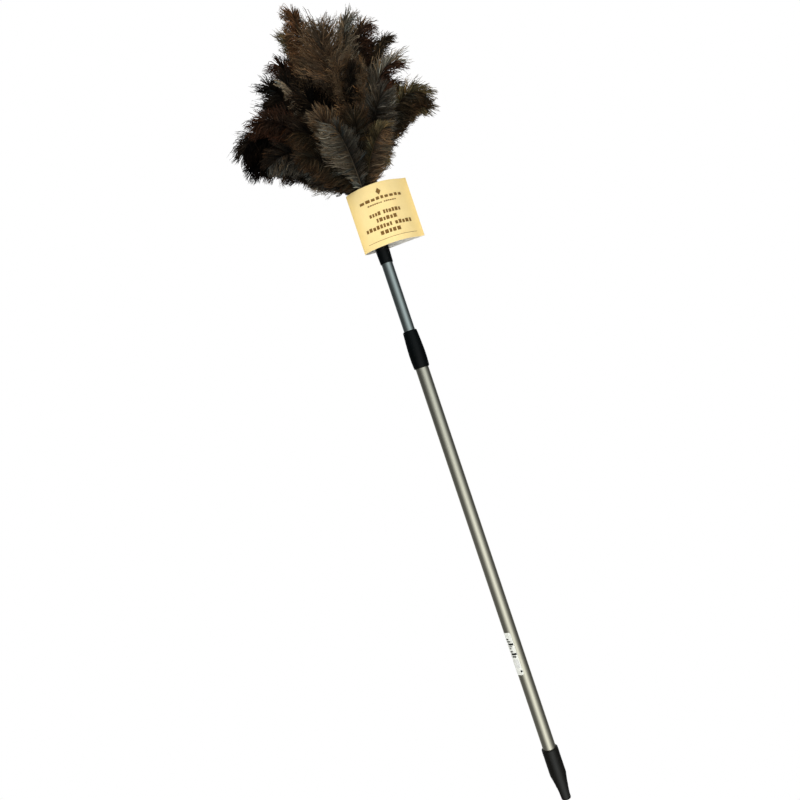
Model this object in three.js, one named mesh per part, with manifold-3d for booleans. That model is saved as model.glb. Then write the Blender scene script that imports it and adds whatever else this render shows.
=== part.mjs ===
// A telescopic feather duster: a two-stage aluminium pole with a twist lock inside it,
// a head of ostrich plumes bound round a wooden core, and a folded card round its ferrule.
// Millimetres. +Z runs up the pole to the head, and z = 0 is the tip of the hanging cap.
// The front of the card faces -Y.

import * as THREE from 'three';
import { mergeVertices } from 'three/addons/utils/BufferGeometryUtils.js';
import Module from 'manifold-3d';

const wasm = await Module();
wasm.setup();

// ---- Driving dimensions -------------------------------------------------------------

const ROUND = 40;                 // facets round the tubes and turned pieces
const SMALL_ROUND = 24;           // facets round small turned pieces
const PIN_ROUND = 12;             // facets round the pin and its holes
const CLEARANCE = 0.3;            // gap between pieces that touch on the real duster
const SLIP = 0.05;                // gap at a thin film or a tight liner

const OUTER_TUBE = { radius: 11, wall: 0.8, bottom: 60.5, top: 808 };
const INNER_TUBE = { radius: 9.5, wall: 0.8, bottom: 225, top: 960 };
const OUTER_BORE = OUTER_TUBE.radius - OUTER_TUBE.wall;
const INNER_BORE = INNER_TUBE.radius - INNER_TUBE.wall;

const CAP = { radius: 13.75, top: 89, shoulder: 45, tipFlat: 3.2 };
const HANG_HOLE = { radius: 4, z: 14 };
const HANG_TAB = { halfThickness: 8, halfWidth: 12.6, bottom: 6, top: 20 };

const LABEL = { bottom: 221, top: 294, film: 0.14, from: 130, to: 262 };

const COLLAR = { bottom: 752, belly: 777, top: 816.5, bellyRadius: 14, topRadius: 12 };
const BUSH = { bottom: 758, wall: 0.5, flange: 1.6, slip: 0.08 };

const LOCK = {
  flangeTop: INNER_TUBE.bottom - CLEARANCE, flangeBottom: 221.5, flangeRadius: INNER_TUBE.radius - 0.1,
  plugTop: 252, plugRadius: INNER_BORE - 0.1,
};
const STUD = { radius: 3, bottom: 180 };
const SLEEVE = { top: 219, bottom: 192, radius: OUTER_BORE - 0.15, slot: 3, bridge: 6 };
const WEDGE = { top: 207, bottom: 189.5, topRadius: 5.6, bottomRadius: 7.6 };
const WEDGE_KEY = { height: 10, middle: 195.5, fromBore: 1, fromTube: 1.2 };
const STUD_CLIP = { bottom: 181.5, top: 183, radius: 5 };

const FERRULE = {
  bottom: 934, shoulder: 967, top: 1047, bottomRadius: 10.7, middleRadius: 12, topRadius: 13.8,
};
const CORE = { bottom: 915, shoulder: 961, top: 1076, pegRadius: 8.4, radius: 3 };
const CORE_PIN = { radius: 1, z: 948, length: 18.4 };
const BINDING_WIRE = { radius: 0.4, ring: 10.65, heights: [1008, 1034] };

const QUILL = { radius: 0.95, bottom: 1001, exit: FERRULE.top + 7 };
const VANE = { thickness: 3.2, tipWidth: 10, bendLength: 30, sides: 8, steps: 12 };

const CARD = { bottom: 959.5, top: 1060.5, thickness: 0.5, steps: 56 };

// The plumes, in the three rings they are bound in. Azimuth is degrees from +X towards +Y,
// lean is the vane's final angle from the pole, and droop is the extra lean at its tip.
// Each plume keeps to its own sector, halfSector degrees to each side of its azimuth.
const PLUME_RINGS = [
  {
    name: 'crown_plume', quillRing: 4.35, halfWidth: 30, halfSector: 27,
    plumes: [
      { azimuth: 176, lean: 5, droop: 0, length: 338 },
      { azimuth: 12, lean: 12, droop: 3, length: 305 },
      { azimuth: 292, lean: 9, droop: 4, length: 292 },
      { azimuth: 84, lean: 12, droop: 3, length: 300 },
      { azimuth: 236, lean: 15, droop: 6, length: 270 },
    ],
  },
  {
    name: 'upper_plume', quillRing: 6.75, halfWidth: 34, halfSector: 18,
    plumes: [
      { azimuth: 4, lean: 31, droop: 3, length: 262 },
      { azimuth: 44, lean: 33, droop: 6, length: 258 },
      { azimuth: 88, lean: 32, droop: 8, length: 255 },
      { azimuth: 132, lean: 31, droop: 6, length: 262 },
      { azimuth: 172, lean: 27, droop: 3, length: 268 },
      { azimuth: 212, lean: 33, droop: 7, length: 250 },
      { azimuth: 250, lean: 32, droop: 8, length: 240 },
      { azimuth: 288, lean: 33, droop: 6, length: 240 },
      { azimuth: 326, lean: 34, droop: 5, length: 248 },
    ],
  },
  {
    name: 'lower_plume', quillRing: 9.15, halfWidth: 38, halfSector: 13.5,
    plumes: [
      { azimuth: 0, lean: 54, droop: 6, length: 222 },
      { azimuth: 30, lean: 56, droop: 8, length: 215 },
      { azimuth: 60, lean: 55, droop: 8, length: 218 },
      { azimuth: 90, lean: 57, droop: 7, length: 212 },
      { azimuth: 120, lean: 55, droop: 9, length: 218 },
      { azimuth: 150, lean: 57, droop: 8, length: 220 },
      { azimuth: 180, lean: 54, droop: 7, length: 236 },
      { azimuth: 209, lean: 57, droop: 9, length: 214 },
      { azimuth: 238, lean: 56, droop: 8, length: 205 },
      { azimuth: 268, lean: 57, droop: 7, length: 200 },
      { azimuth: 299, lean: 55, droop: 9, length: 206 },
      { azimuth: 330, lean: 57, droop: 8, length: 214 },
    ],
  },
];

const PLUME_COLOURS = [0x2e2719, 0x3a3227, 0x1c1914, 0x4b3f30];

// ---- Helpers ------------------------------------------------------------------------

const duster = new THREE.Group();

function addPiece(name, geometry, color, roughness, metalness = 0) {
  const mesh = new THREE.Mesh(geometry, new THREE.MeshStandardMaterial({ color, roughness, metalness }));
  mesh.name = name;
  duster.add(mesh);
  return mesh;
}

// Turns a profile of [radius, z] points round the Z axis.
function turned(profile, facets = ROUND) {
  const points = profile.map(([radius, z]) => new THREE.Vector2(radius, z));
  return new THREE.LatheGeometry(points, facets).rotateX(Math.PI / 2);
}

// A turned ring whose outside and inside profiles both run upwards.
function turnedShell(outside, inside, facets = ROUND) {
  return turned([...outside, ...inside.toReversed(), outside[0]], facets);
}

function straightTube(outerRadius, innerRadius, bottom, top, facets = ROUND) {
  return turnedShell([[outerRadius, bottom], [outerRadius, top]],
    [[innerRadius, bottom], [innerRadius, top]], facets);
}

function rod(radius, bottom, top, facets = SMALL_ROUND) {
  return turned([[0, bottom], [radius, bottom], [radius, top], [0, top]], facets);
}

function toSolid(geometry) {
  const bare = geometry.clone();
  bare.deleteAttribute('normal');
  bare.deleteAttribute('uv');
  const merged = mergeVertices(bare, 1e-4);
  const index = merged.index.array;
  const triangles = [];
  for (let i = 0; i < index.length; i += 3) {
    const [a, b, c] = [index[i], index[i + 1], index[i + 2]];
    if (a !== b && b !== c && c !== a) triangles.push(a, b, c);
  }
  const vertProperties = Float32Array.from(merged.attributes.position.array);
  const mesh = new wasm.Mesh({ numProp: 3, vertProperties, triVerts: Uint32Array.from(triangles) });
  return new wasm.Manifold(mesh);
}

function toGeometry(solid) {
  const mesh = solid.getMesh();
  const geometry = new THREE.BufferGeometry();
  geometry.setAttribute('position', new THREE.BufferAttribute(mesh.vertProperties, 3));
  geometry.setIndex(new THREE.BufferAttribute(mesh.triVerts, 1));
  geometry.computeVertexNormals();
  return geometry;
}

// Extrudes an outline drawn in X and Z along Y, centred on y = 0.
function extrudedAlongY(points, depth) {
  const shape = new THREE.Shape(points.map(([x, z]) => new THREE.Vector2(x, z)));
  const geometry = new THREE.ExtrudeGeometry(shape, { depth, bevelEnabled: false });
  return geometry.rotateX(Math.PI / 2).translate(0, depth / 2, 0);
}

// ---- Handle: cap, outer tube, label, collar and bush --------------------------------

function endCap() {
  const tipRise = 1.4;
  const turnedBody = toSolid(turned([
    [0, 0], [CAP.tipFlat + 1.6, 0], [9.4, 2.6], [11.8, 6.4], [HANG_TAB.halfWidth, 12],
    [13.2, 26], [CAP.radius, CAP.shoulder], [CAP.radius, CAP.top - 0.8],
    [CAP.radius - 0.7, CAP.top], [0, CAP.top],
  ]));
  const halfFront = [
    [CAP.tipFlat, 0], [5.8, tipRise], [7.5, 3.6], [HANG_TAB.halfThickness, HANG_TAB.bottom],
    [HANG_TAB.halfThickness, HANG_TAB.top], [9, 23.5], [11.6, 31.5], [15, CAP.shoulder], [15, CAP.top + 1],
  ];
  const mirrored = halfFront.toReversed().map(([x, z]) => [-x, z]);
  const frontOutline = toSolid(extrudedAlongY([...halfFront, ...mirrored], 40));
  const socketRadius = OUTER_TUBE.radius + CLEARANCE;
  const socket = toSolid(rod(socketRadius, OUTER_TUBE.bottom - CLEARANCE, CAP.top + 1, ROUND));
  const pastTab = HANG_TAB.halfThickness + 4;
  const hangHole = toSolid(rod(HANG_HOLE.radius, -pastTab, pastTab)
    .rotateY(Math.PI / 2).translate(0, 0, HANG_HOLE.z));
  return toGeometry(turnedBody.intersect(frontOutline).subtract(socket).subtract(hangHole));
}

// A film wrapped part of the way round the outer tube.
function tubeLabel() {
  const inner = OUTER_TUBE.radius + SLIP;
  const outer = inner + LABEL.film;
  const from = THREE.MathUtils.degToRad(LABEL.from);
  const to = THREE.MathUtils.degToRad(LABEL.to);
  const shape = new THREE.Shape();
  shape.absarc(0, 0, outer, from, to, false);
  shape.absarc(0, 0, inner, to, from, true);
  const depth = LABEL.top - LABEL.bottom;
  return new THREE.ExtrudeGeometry(shape, { depth, bevelEnabled: false, curveSegments: 24 })
    .translate(0, 0, LABEL.bottom);
}

// The sleeve gripped while the pole is twisted: barrel-shaped, with a lip over the tube's end.
function collarGrip() {
  const tubeBore = OUTER_TUBE.radius + CLEARANCE;
  const lipBore = INNER_TUBE.radius + CLEARANCE;
  const lipBottom = OUTER_TUBE.top + BUSH.flange + 2 * CLEARANCE;
  return turnedShell([
    [tubeBore + 0.8, COLLAR.bottom], [13.1, COLLAR.bottom + 1.2], [13.6, 760], [13.95, 768],
    [COLLAR.bellyRadius, COLLAR.belly], [13.7, 786], [13.1, 798], [12.4, 809],
    [COLLAR.topRadius - 0.1, COLLAR.top - 1.4], [COLLAR.topRadius - 1, COLLAR.top],
  ], [
    [tubeBore, COLLAR.bottom], [tubeBore, lipBottom], [lipBore, lipBottom], [lipBore, COLLAR.top],
  ]);
}

// A thin liner in the outer tube's mouth, with a flange on the tube's end.
function guideBush() {
  const inner = INNER_TUBE.radius + BUSH.slip;
  const outer = inner + BUSH.wall;
  const flangeBottom = OUTER_TUBE.top + CLEARANCE;
  return turnedShell([
    [outer, BUSH.bottom], [outer, flangeBottom], [OUTER_TUBE.radius, flangeBottom],
    [OUTER_TUBE.radius, flangeBottom + BUSH.flange],
  ], [[inner, BUSH.bottom], [inner, flangeBottom + BUSH.flange]]);
}

// ---- Twist lock -----------------------------------------------------------------------

// Pressed into the inner tube, with a flange under the tube and a threaded stud below.
function lockPlug() {
  return turned([
    [0, STUD.bottom], [STUD.radius - 0.5, STUD.bottom], [STUD.radius, STUD.bottom + 0.6],
    [STUD.radius, LOCK.flangeBottom], [LOCK.flangeRadius, LOCK.flangeBottom],
    [LOCK.flangeRadius, LOCK.flangeTop], [LOCK.plugRadius, LOCK.flangeTop],
    [LOCK.plugRadius, LOCK.plugTop], [0, LOCK.plugTop],
  ], SMALL_ROUND);
}

// A sleeve slit down one side, with a tapered bore that the wedge spreads.
function expanderSleeve() {
  const studBore = STUD.radius + CLEARANCE;
  const sleeve = toSolid(turnedShell([
    [SLEEVE.radius - 0.5, SLEEVE.bottom], [SLEEVE.radius, SLEEVE.bottom + 0.8],
    [SLEEVE.radius, SLEEVE.top - 0.8], [SLEEVE.radius - 0.5, SLEEVE.top],
  ], [
    [WEDGE.bottomRadius + CLEARANCE, SLEEVE.bottom], [WEDGE.topRadius + CLEARANCE, WEDGE.top + 1],
    [studBore, WEDGE.top + 3], [studBore, SLEEVE.top],
  ]));
  const slotTop = SLEEVE.top - SLEEVE.bridge;
  const slotBottom = SLEEVE.bottom - 2;
  const slot = toSolid(new THREE.BoxGeometry(SLEEVE.radius * 2, SLEEVE.slot, slotTop - slotBottom)
    .translate(SLEEVE.radius, 0, (slotTop + slotBottom) / 2));
  return toGeometry(sleeve.subtract(slot));
}

// The cone nut on the stud. Its key sits in the sleeve's slit, so it slides and doesn't turn.
function wedgeNut() {
  const studBore = STUD.radius + CLEARANCE;
  const cone = toSolid(turnedShell([[WEDGE.bottomRadius, WEDGE.bottom], [WEDGE.topRadius, WEDGE.top]],
    [[studBore, WEDGE.bottom], [studBore, WEDGE.top]], SMALL_ROUND));
  const keyInner = studBore + WEDGE_KEY.fromBore;
  const keyLength = SLEEVE.radius - WEDGE_KEY.fromTube - keyInner;
  const key = toSolid(new THREE.BoxGeometry(keyLength, SLEEVE.slot - 2 * CLEARANCE, WEDGE_KEY.height)
    .translate(keyInner + keyLength / 2, 0, WEDGE_KEY.middle));
  return toGeometry(cone.add(key));
}

function studClip() {
  return straightTube(STUD_CLIP.radius, STUD.radius + 0.1, STUD_CLIP.bottom, STUD_CLIP.top, SMALL_ROUND);
}

// ---- Inner tube, ferrule and core -----------------------------------------------------

// The hole that the core's pin goes through, right across the pole.
function pinHole() {
  const half = INNER_TUBE.radius + 5;
  return toSolid(rod(CORE_PIN.radius + CLEARANCE, -half, half, PIN_ROUND)
    .rotateY(Math.PI / 2).translate(0, 0, CORE_PIN.z));
}

function innerTube() {
  const tube = toSolid(straightTube(INNER_TUBE.radius, INNER_BORE, INNER_TUBE.bottom, INNER_TUBE.top));
  return toGeometry(tube.subtract(pinHole()));
}

function headCore() {
  const core = toSolid(turned([
    [0, CORE.bottom], [CORE.pegRadius - 1, CORE.bottom], [CORE.pegRadius, CORE.bottom + 1.5],
    [CORE.pegRadius, CORE.shoulder - 3], [CORE.radius, CORE.shoulder], [CORE.radius, CORE.top - 2],
    [CORE.radius - 1.2, CORE.top], [0, CORE.top],
  ], SMALL_ROUND));
  return toGeometry(core.subtract(pinHole()));
}

function corePin() {
  return rod(CORE_PIN.radius, -CORE_PIN.length / 2, CORE_PIN.length / 2, PIN_ROUND)
    .rotateY(Math.PI / 2).translate(0, 0, CORE_PIN.z);
}

// A tapered cup that grips the inner tube below and holds the bound quills above.
function ferrule() {
  const grip = INNER_TUBE.radius + CLEARANCE;
  return turnedShell([
    [FERRULE.bottomRadius - 0.4, FERRULE.bottom], [FERRULE.bottomRadius, FERRULE.bottom + 0.8],
    [FERRULE.middleRadius, FERRULE.shoulder], [FERRULE.topRadius, FERRULE.top - 1],
    [FERRULE.topRadius - 0.3, FERRULE.top],
  ], [
    [grip, FERRULE.bottom], [grip, INNER_TUBE.top + 1.5], [10.5, FERRULE.shoulder], [12.5, FERRULE.top],
  ]);
}

function bindingWire(z) {
  return new THREE.TorusGeometry(BINDING_WIRE.ring, BINDING_WIRE.radius, 6, 32).translate(0, 0, z);
}

// ---- Plumes ---------------------------------------------------------------------------

// Stations along a plume's midrib: a straight quill in the ferrule, then the bending vane.
function plumeStations(ring, plume) {
  const stations = [{ out: ring.quillRing, z: QUILL.bottom, lean: 0, along: 0 }];
  let out = ring.quillRing;
  let z = QUILL.exit;
  stations.push({ out, z, lean: 0, along: 0 });
  const slices = 10;
  const count = (VANE.steps - 1) * slices;
  const step = plume.length / count;
  for (let i = 1; i <= count; i += 1) {
    const along = i / count;
    const bend = 1 - Math.exp(-along * plume.length / VANE.bendLength);
    const lean = THREE.MathUtils.degToRad(plume.lean * bend + plume.droop * along ** 2);
    out += Math.sin(lean) * step;
    z += Math.cos(lean) * step;
    if (i % slices === 0) stations.push({ out, z, lean, along });
  }
  return stations;
}

// The vane's half-width: narrow at the quill, widest at two thirds, round at the tip.
function vaneHalfWidth(ring, station) {
  const { along, out } = station;
  const widestAt = 0.66;
  const opening = Math.sin(Math.min(along / widestAt, 1) * Math.PI / 2) ** 1.6;
  const past = Math.max(along - widestAt, 0) / (1 - widestAt);
  const closing = Math.sqrt(1 - past ** 2);
  const leaf = QUILL.radius + (ring.halfWidth - QUILL.radius) * opening * closing;
  const room = 0.95 * out * Math.tan(THREE.MathUtils.degToRad(ring.halfSector));
  return Math.min(Math.max(leaf, VANE.tipWidth / 2 * along, QUILL.radius), Math.max(room, QUILL.radius));
}

// A cylinder bent along the midrib and flattened into a leaf, in the plane through the pole.
function plumeBody(ring, plume) {
  const stations = plumeStations(ring, plume);
  const geometry = new THREE.CylinderGeometry(1, 1, 1, VANE.sides, VANE.steps);
  const position = geometry.attributes.position;
  const azimuth = THREE.MathUtils.degToRad(plume.azimuth);
  for (let i = 0; i < position.count; i += 1) {
    const station = stations[Math.round((position.getY(i) + 0.5) * VANE.steps)];
    const halfWidth = vaneHalfWidth(ring, station);
    const swelling = (VANE.thickness / 2 - QUILL.radius) * Math.sin(Math.PI * station.along);
    const halfThickness = QUILL.radius + swelling;
    const across = position.getX(i) * halfWidth;
    const through = position.getZ(i) * halfThickness;
    const out = station.out + through * Math.cos(station.lean);
    const z = station.z - through * Math.sin(station.lean);
    position.setXYZ(i, out * Math.cos(azimuth) - across * Math.sin(azimuth),
      out * Math.sin(azimuth) + across * Math.cos(azimuth), z);
  }
  return geometry;
}

// ---- Card -----------------------------------------------------------------------------

// The folded card's line, seen from above: the bulging front leaf, the fold round the ferrule
// and the flatter back leaf, with both free edges at the right.
function cardLine() {
  return new THREE.CatmullRomCurve3([
    [74.3, 5.4], [67, 1], [52, -12], [38, -20.5], [23.5, -24], [9, -22.5], [-6, -17.5], [-20, -8.5],
    [-28, 1], [-29.2, 6.5], [-25, 11.5], [-13, 15.4], [2, 16.4], [18, 15], [38, 11], [56, 8], [74.3, 6.8],
  ].map(([x, y]) => new THREE.Vector3(x, y, 0)), false, 'centripetal');
}

function tagCard() {
  const line = cardLine();
  const outside = [];
  const inside = [];
  for (let i = 0; i <= CARD.steps; i += 1) {
    const point = line.getPointAt(i / CARD.steps);
    const along = line.getTangentAt(i / CARD.steps);
    const normal = new THREE.Vector2(-along.y, along.x).multiplyScalar(CARD.thickness / 2);
    outside.push(new THREE.Vector2(point.x + normal.x, point.y + normal.y));
    inside.push(new THREE.Vector2(point.x - normal.x, point.y - normal.y));
  }
  const shape = new THREE.Shape([...outside, ...inside.toReversed()]);
  return new THREE.ExtrudeGeometry(shape, { depth: CARD.top - CARD.bottom, bevelEnabled: false })
    .translate(0, 0, CARD.bottom);
}

// ---- Assembly -------------------------------------------------------------------------

const BLACK = 0x141513;

addPiece('end_cap', endCap(), BLACK, 0.5);
addPiece('outer_tube', straightTube(OUTER_TUBE.radius, OUTER_BORE, OUTER_TUBE.bottom, OUTER_TUBE.top),
  0xaaa592, 0.35, 1);
addPiece('tube_label', tubeLabel(), 0xf2f2ee, 0.6);
addPiece('collar_grip', collarGrip(), BLACK, 0.45);
addPiece('guide_bush', guideBush(), 0xd8d8d0, 0.5);

addPiece('inner_tube', innerTube(), 0x8f999b, 0.35, 1);
addPiece('lock_plug', lockPlug(), 0x2a2a2a, 0.5);
addPiece('expander_sleeve', expanderSleeve(), 0xd0cfc8, 0.5);
addPiece('wedge_nut', wedgeNut(), 0x9a2f24, 0.5);
addPiece('stud_clip', studClip(), 0xb8b8b8, 0.3, 1);

addPiece('ferrule', ferrule(), BLACK, 0.4);
addPiece('head_core', headCore(), 0xb88f5e, 0.7);
addPiece('core_pin', corePin(), 0xb8b8b8, 0.3, 1);
addPiece('binding_wire_lower', bindingWire(BINDING_WIRE.heights[0]), 0xb8b8b8, 0.3, 1);
addPiece('binding_wire_upper', bindingWire(BINDING_WIRE.heights[1]), 0xb8b8b8, 0.3, 1);

for (const ring of PLUME_RINGS) {
  ring.plumes.forEach((plume, i) => {
    const name = `${ring.name}_${String(i + 1).padStart(2, '0')}`;
    addPiece(name, plumeBody(ring, plume), PLUME_COLOURS[i % PLUME_COLOURS.length], 0.9);
  });
}

addPiece('tag_card', tagCard(), 0xfbe3a0, 0.8);

export default duster;
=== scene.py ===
"""Looks of the telescopic feather duster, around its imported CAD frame. Metres, +Z up the pole."""

import math

import bmesh
import bpy
import numpy as np
from mathutils import Matrix, Vector

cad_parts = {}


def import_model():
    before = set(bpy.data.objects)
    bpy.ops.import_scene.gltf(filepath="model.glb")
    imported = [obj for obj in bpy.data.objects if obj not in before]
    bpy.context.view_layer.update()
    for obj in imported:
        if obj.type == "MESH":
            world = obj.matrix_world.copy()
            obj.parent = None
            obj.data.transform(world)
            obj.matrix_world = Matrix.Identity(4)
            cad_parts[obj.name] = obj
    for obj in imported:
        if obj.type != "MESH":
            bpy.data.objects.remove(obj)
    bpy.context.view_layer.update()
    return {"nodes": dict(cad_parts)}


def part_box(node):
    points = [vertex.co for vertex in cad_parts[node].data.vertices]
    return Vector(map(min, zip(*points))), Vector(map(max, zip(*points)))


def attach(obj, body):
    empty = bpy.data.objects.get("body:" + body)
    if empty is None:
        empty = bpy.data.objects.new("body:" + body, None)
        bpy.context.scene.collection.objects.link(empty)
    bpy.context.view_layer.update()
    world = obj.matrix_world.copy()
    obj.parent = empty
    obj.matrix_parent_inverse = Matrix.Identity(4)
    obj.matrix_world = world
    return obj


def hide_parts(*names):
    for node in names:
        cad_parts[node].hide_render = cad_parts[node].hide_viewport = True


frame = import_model()

# ---- Places and sizes, from the frame --------------------

UP = np.array([0.0, 0.0, 1.0])
CAP_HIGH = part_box("end_cap")[1]
OUTER_LOW, OUTER_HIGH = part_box("outer_tube")
INNER_LOW, INNER_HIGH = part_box("inner_tube")
FERRULE_LOW, FERRULE_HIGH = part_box("ferrule")
CARD_LOW, CARD_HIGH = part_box("tag_card")
LABEL_LOW, LABEL_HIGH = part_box("tube_label")
COLLAR_LOW, COLLAR_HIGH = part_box("collar_grip")
PIN_LOW, PIN_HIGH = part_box("core_pin")

MM = 0.001
MOUTH = FERRULE_HIGH.z          # where the plumes leave the ferrule
OUTER_RADIUS = OUTER_HIGH.x
INNER_RADIUS = INNER_HIGH.x
WALL = 0.8 * MM                 # of both tubes
CLEARANCE = 0.3 * MM            # between pieces that touch
HANG_HOLE_Z = 14 * MM
PIN_Z = (PIN_LOW.z + PIN_HIGH.z) / 2
PIN_HOLE = 1.3                  # radius, in millimetres

# The camera: level with the pole's middle, square on to the pole, and rolled.
CAMERA_DISTANCE = 1.307
CAMERA_X = -0.0514
CAMERA_Z = 0.713
CAMERA_ROLL = 18.54
CAMERA_LENS = 35.55
SENSOR = 36.0

# ---- Small helpers --------------------


def smoothstep(x):
    x = np.clip(x, 0.0, 1.0)
    return x * x * (3.0 - 2.0 * x)


def unit(vectors):
    return vectors / np.maximum(np.linalg.norm(vectors, axis=-1, keepdims=True), 1e-9)


def linked(name, data):
    """A new object in the scene."""
    piece = bpy.data.objects.new(name, data)
    bpy.context.scene.collection.objects.link(piece)
    return piece


def new_mesh_object(name, points, faces):
    mesh = bpy.data.meshes.new(name)
    mesh.from_pydata([tuple(p) for p in points], [], [tuple(int(i) for i in f) for f in faces])
    mesh.polygons.foreach_set("use_smooth", [True] * len(mesh.polygons))
    mesh.update()
    return linked(name, mesh)


def coloured_mesh_object(name, points, quads, triangles, colours):
    """The quick way for big meshes: flat arrays of points, faces and one colour for each point."""
    corners = np.concatenate([quads.ravel(), triangles.ravel()]).astype(np.int32)
    starts = np.concatenate([np.arange(len(quads)) * 4, quads.size + np.arange(len(triangles)) * 3])
    mesh = bpy.data.meshes.new(name)
    mesh.vertices.add(len(points))
    mesh.vertices.foreach_set("co", points.astype(np.float32).ravel())
    mesh.loops.add(len(corners))
    mesh.loops.foreach_set("vertex_index", corners)
    mesh.polygons.add(len(starts))
    mesh.polygons.foreach_set("loop_start", starts.astype(np.int32))
    mesh.polygons.foreach_set("use_smooth", np.ones(len(starts), dtype=bool))
    tint = mesh.color_attributes.new("tint", "FLOAT_COLOR", "POINT")
    rgba = np.ones((len(points), 4), np.float32)
    rgba[:, :3] = colours
    tint.data.foreach_set("color", rgba.ravel())
    mesh.update(calc_edges=True)
    mesh.validate()
    return linked(name, mesh)


def finished(piece, material, body, slot, *nodes):
    """Gives a visible piece its material and its body, and hides the CAD nodes that it stands for. The slot
    is not used.
    """
    piece.data.materials.append(material)
    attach(piece, body)
    if nodes:
        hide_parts(*nodes)


class NodeTree:
    """Short ways to build the nodes of a material or a world."""

    def __init__(self, owner):
        owner.use_nodes = True
        self.nodes = owner.node_tree.nodes
        self.links = owner.node_tree.links

    def feed(self, node, **values):
        """Sets or links a node's inputs. In an input's name, _ stands for a space."""
        for name, value in values.items():
            socket = node.inputs[name.replace("_", " ")]
            if isinstance(value, bpy.types.NodeSocket):
                self.links.new(value, socket)
            elif socket.type == "RGBA":
                socket.default_value = (*value, 1.0)
            else:
                socket.default_value = value

    def add(self, kind, **values):
        node = self.nodes.new("ShaderNode" + kind)
        self.feed(node, **values)
        return node

    def coordinates(self, scale=None):
        """Places on the piece itself, stretched by a scale along each axis where one is given."""
        place = self.add("TexCoord").outputs["Object"]
        if scale is None:
            return place
        return self.add("Mapping", Scale=scale, Vector=place).outputs["Vector"]

    def noise(self, scale, detail, roughness, place):
        node = self.add("TexNoise", Scale=scale, Detail=detail, Roughness=roughness, Vector=place)
        return node.outputs["Fac"]

    def ramp(self, value, stops):
        """Colours by value. Stops are (value, colour), upwards."""
        node = self.add("ValToRGB", Fac=value)
        elements = node.color_ramp.elements
        for element, (position, colour) in ((elements[0], stops[0]), (elements[1], stops[-1])):
            element.position = position
            element.color = (*colour, 1.0)
        for position, colour in stops[1:-1]:
            elements.new(position).color = (*colour, 1.0)
        return node.outputs["Color"]

    def blend(self, kind, factor, first, second):
        """Two colours mixed or multiplied."""
        node = self.add("Mix")
        node.data_type = "RGBA"
        node.blend_type = kind
        self.feed(node, Factor=factor, A=first, B=second)
        return node.outputs["Result"]

    def choose(self, ray, otherwise, shader):
        """One shader for rays of a kind, and another otherwise."""
        node = self.add("MixShader", Fac=self.add("LightPath").outputs[ray])
        self.links.new(otherwise, node.inputs[1])
        self.links.new(shader, node.inputs[2])
        return node.outputs["Shader"]


class Material(NodeTree):
    """A new material, and short ways to set its shader."""

    def __init__(self, name):
        self.material = bpy.data.materials.new(name)
        super().__init__(self.material)
        self.shader = self.nodes["Principled BSDF"]

    def look(self, **values):
        self.feed(self.shader, **values)

    def roughness(self, value, low, high):
        """Roughness from low to high by a value from 0 to 1."""
        self.look(Roughness=self.add("MapRange", To_Min=low, To_Max=high, Value=value).outputs["Result"])

    def bump(self, height, strength, distance):
        node = self.add("Bump", Strength=strength, Distance=distance, Height=height)
        self.look(Normal=node.outputs["Normal"])


# ---- Materials --------------------


def feather_material():
    """Barbs, coloured by their own tint with a fine grain."""
    tree = Material("ostrich_barbs")
    tint = tree.add("VertexColor")
    tint.layer_name = "tint"
    grain = tree.noise(900.0, 2.0, 0.6, tree.coordinates())
    shade = tree.ramp(grain, [(0.3, (0.72, 0.72, 0.72)), (0.7, (1.2, 1.18, 1.15))])
    tree.look(Base_Color=tree.blend("MULTIPLY", 1.0, tint.outputs["Color"], shade))
    tree.look(Roughness=0.60, Specular_IOR_Level=0.025)
    return tree.material


def aluminium_material(name, low, high):
    """Anodised tube: clouded a little, with faint streaks along its length."""
    tree = Material(name)
    streaks = tree.noise(1.0, 4.0, 0.6, tree.coordinates((900.0, 900.0, 5.625)))
    clouds = tree.noise(1.0, 3.0, 0.5, tree.coordinates((14.0, 14.0, 5.0)))
    tree.look(Base_Color=tree.ramp(clouds, [(0.3, low), (0.7, high)]), Metallic=1.0)
    tree.roughness(streaks, 0.22, 0.36)
    tree.bump(streaks, 0.06, 0.2 * MM)
    return tree.material


def plastic_material(name, colour, roughness, specular=0.5):
    """Moulded plastic: a fine grain, and a faint unevenness of colour and gloss."""
    tree = Material(name)
    grain = tree.noise(1500.0, 2.0, 0.6, tree.coordinates())
    smear = tree.noise(45.0, 4.0, 0.55, tree.coordinates())
    low = tuple(part * 0.80 for part in colour)
    high = tuple(min(part * 1.25, 0.9) for part in colour)
    tree.look(Base_Color=tree.ramp(smear, [(0.3, low), (0.7, high)]), Specular_IOR_Level=specular)
    tree.roughness(smear, roughness - 0.06, roughness + 0.08)
    tree.bump(grain, 0.10, 0.2 * MM)
    return tree.material


def steel_material():
    tree = Material("bright_steel")
    scratches = tree.noise(700.0, 4.0, 0.6, tree.coordinates())
    stops = [(0.3, (0.50, 0.50, 0.50)), (0.7, (0.66, 0.66, 0.65))]
    tree.look(Base_Color=tree.ramp(scratches, stops), Metallic=1.0)
    tree.roughness(scratches, 0.18, 0.38)
    return tree.material


def wood_material():
    """Raw beech: pale, with darker grain lines and short flecks along the pole."""
    tree = Material("raw_beech")
    lines = tree.noise(1.0, 5.0, 0.6, tree.coordinates((420.0, 420.0, 22.0)))
    stops = [(0.30, (0.30, 0.18, 0.09)), (0.48, (0.47, 0.31, 0.17)), (0.75, (0.56, 0.40, 0.24))]
    tree.look(Base_Color=tree.ramp(lines, stops), Roughness=0.68)
    tree.bump(lines, 0.25, 0.3 * MM)
    return tree.material


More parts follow.
